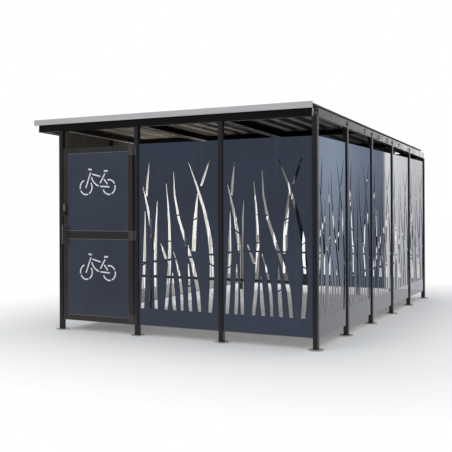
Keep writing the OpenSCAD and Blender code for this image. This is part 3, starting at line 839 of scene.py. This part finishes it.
wire(floor_paint, rays.outputs["Is Transmission Ray"], white_share.inputs[1])
glow = add_node(floor_paint, "Emission")
blend = add_node(floor_paint, "MixShader")
wire(floor_paint, white_share.outputs["Value"], blend.inputs[0])
wire(floor_paint, floor_shader.outputs["BSDF"], blend.inputs[1])
wire(floor_paint, glow.outputs["Emission"], blend.inputs[2])
wire(floor_paint, blend.outputs["Shader"], floor_tree.nodes["Material Output"].inputs["Surface"])
floor = begin("floor", bpy.ops.mesh.primitive_plane_add, size=2 * floor_half)
bpy.ops.mesh.subdivide(number_cuts=8)
bpy.ops.object.mode_set(mode="OBJECT")
floor.data.materials.append(floor_paint)


# Light
# A bright even sky, a soft key from the front left, a soft fill inside, and a card behind the
# right corner that only reflections see: pale on its left, blue like the sky on its right, with
# a greyer band above a sloping skyline.

world = bpy.data.worlds.new("studio")
bpy.context.scene.world = world
world.use_nodes = True
sky_nodes, sky_links = world.node_tree.nodes, world.node_tree.links
sky = sky_nodes["Background"]
sky.inputs["Color"].default_value = (0.94, 0.97, 1.0, 1)
sky.inputs["Strength"].default_value = 0.8
backdrop = sky_nodes.new("ShaderNodeBackground")
backdrop.inputs["Color"].default_value = (1, 1, 1, 1)
sky_rays = sky_nodes.new("ShaderNodeLightPath")
sky_seen = sky_nodes.new("ShaderNodeMath")
sky_shown = sky_nodes.new("ShaderNodeMath")
sky_seen.use_clamp = sky_shown.use_clamp = True
sky_mix = sky_nodes.new("ShaderNodeMixShader")
sky_links.new(sky_rays.outputs["Is Camera Ray"], sky_seen.inputs[0])
sky_links.new(sky_rays.outputs["Is Glossy Ray"], sky_seen.inputs[1])
sky_links.new(sky_seen.outputs["Value"], sky_shown.inputs[0])
sky_links.new(sky_rays.outputs["Is Transmission Ray"], sky_shown.inputs[1])
sky_links.new(sky_shown.outputs["Value"], sky_mix.inputs[0])
sky_links.new(sky.outputs["Background"], sky_mix.inputs[1])
sky_links.new(backdrop.outputs["Background"], sky_mix.inputs[2])
sky_links.new(sky_mix.outputs["Shader"], sky_nodes["World Output"].inputs["Surface"])


def softbox(name, place, target, width, height, radiance):
    """Area lamp that shows only in what it lights, set by the brightness of its face."""
    lamp = bpy.data.lights.new(name, "AREA")
    lamp.shape = "RECTANGLE"
    lamp.size, lamp.size_y = width, height
    lamp.energy = radiance * pi * width * height
    holder = bpy.data.objects.new(name, lamp)
    holder.location = place
    aim = Vector(target) - Vector(place)
    holder.rotation_euler = aim.to_track_quat("-Z", "Y").to_euler()
    holder.visible_camera = False
    bpy.context.collection.objects.link(holder)
    return holder


softbox("key", place=(-7, -9, 7), target=shelter_middle + Vector((0, 0, 1)), width=5, height=5,
        radiance=2.0)
fill = softbox("inside_fill", place=(-1.1, 1.3, 1.3), target=(-3.0, 2.9, 1.3), width=2.0,
               height=1.3, radiance=4.4)
fill.data.spread = radians(60)

card_y, card_left, card_right, card_top = 5.8, 0.05, 2.55, 4.0
card_glow, blend_low, blend_high = 3.5, 0.9, 2.1
skyline_low, skyline_high, skyline_slope = 2.045, 2.095, 0.27
# Each stop is a place across the card, then its red, green and blue light.
card_low_tones = [(0.05, 1.2, 1.2, 1.25), (0.41, 1.25, 1.25, 1.3), (0.89, 1.9, 1.9, 1.95),
                  (0.92, 0.26, 0.3, 0.4), (1.30, 0.37, 0.42, 0.54), (1.52, 0.44, 0.5, 0.62),
                  (1.79, 0.76, 0.86, 1.04), (2.55, 0.91, 1.0, 1.17)]
card_high_tones = [(0.05, 1.55, 1.53, 1.55), (0.41, 1.65, 1.64, 1.66), (0.89, 2.45, 2.45, 2.5),
                   (0.92, 0.48, 0.55, 0.68), (1.30, 0.6, 0.72, 0.92), (1.52, 0.84, 0.98, 1.21),
                   (1.79, 1.11, 1.34, 1.7), (2.55, 1.21, 1.44, 1.74)]
card_top_tones = [(0.05, 3.5, 3.4, 3.35), (0.89, 3.2, 3.1, 3.05), (0.92, 1.0, 0.95, 0.95),
                  (2.55, 0.9, 0.86, 0.86)]
card_face = bpy.data.materials.new("card_face")
card_face.use_nodes = True
card_face.node_tree.nodes.remove(card_face.node_tree.nodes["Principled BSDF"])
card_place = add_node(card_face, "TexCoord")
card_axes = add_node(card_face, "SeparateXYZ")
wire(card_face, card_place.outputs["Object"], card_axes.inputs["Vector"])
across = remap(card_face, card_axes.outputs["X"], card_left, card_right)
card_bands = []
for tones in (card_low_tones, card_high_tones, card_top_tones):
    band = add_node(card_face, "ValToRGB")
    wire(card_face, across, band.inputs["Fac"])
    while len(band.color_ramp.elements) < len(tones):
        band.color_ramp.elements.new(0.5)
    for stop, (x, *tone) in zip(band.color_ramp.elements, tones):
        stop.position = (x - card_left) / (card_right - card_left)
        stop.color = [c / card_glow for c in tone] + [1.0]
    card_bands.append(band.outputs["Color"])
upward = remap(card_face, card_axes.outputs["Z"], blend_low, blend_high)
skyline = add_node(card_face, "Math", operation="MULTIPLY_ADD")
wire(card_face, card_axes.outputs["X"], skyline.inputs[0])
skyline.inputs[1].default_value = -skyline_slope
wire(card_face, card_axes.outputs["Z"], skyline.inputs[2])
skyward = remap(card_face, skyline.outputs["Value"], skyline_low, skyline_high)
wall_tones = mix_colours(card_face, upward, card_bands[0], card_bands[1])
card_tones = mix_colours(card_face, skyward, wall_tones, card_bands[2])
card_light = add_node(card_face, "Emission", Strength=card_glow)
wire(card_face, card_tones, card_light.inputs["Color"])
wire(card_face, card_light.outputs["Emission"],
     card_face.node_tree.nodes["Material Output"].inputs["Surface"])
card_middle = ((card_left + card_right) / 2, card_y, card_top / 2)
card = begin("card", bpy.ops.mesh.primitive_plane_add, size=1, location=card_middle,
             rotation=(radians(90), 0, 0))
bpy.ops.transform.resize(value=(card_right - card_left, 1, card_top), center_override=card_middle)
bpy.ops.mesh.subdivide(number_cuts=3)
bpy.ops.object.mode_set(mode="OBJECT")
card.data.materials.append(card_face)
card.visible_camera = card.visible_diffuse = card.visible_shadow = False
card.visible_transmission = False


# Camera
# A long lens at a low standing eye height, in front of the right corner. It looks level, with the
# frame slid down, so that the posts stay upright.

camera_data = bpy.data.cameras.new("camera")
camera_data.sensor_width = 36.0
camera_data.lens = 60.81
camera_data.shift_y = -0.0385
camera = bpy.data.objects.new("camera", camera_data)
camera.location = (2.478, -6.828, 1.343)
camera.rotation_euler = (radians(90), radians(0.21), radians(26.64))
bpy.context.collection.objects.link(camera)
bpy.context.scene.camera = camera
bpy.context.scene.view_settings.view_transform = "Standard"
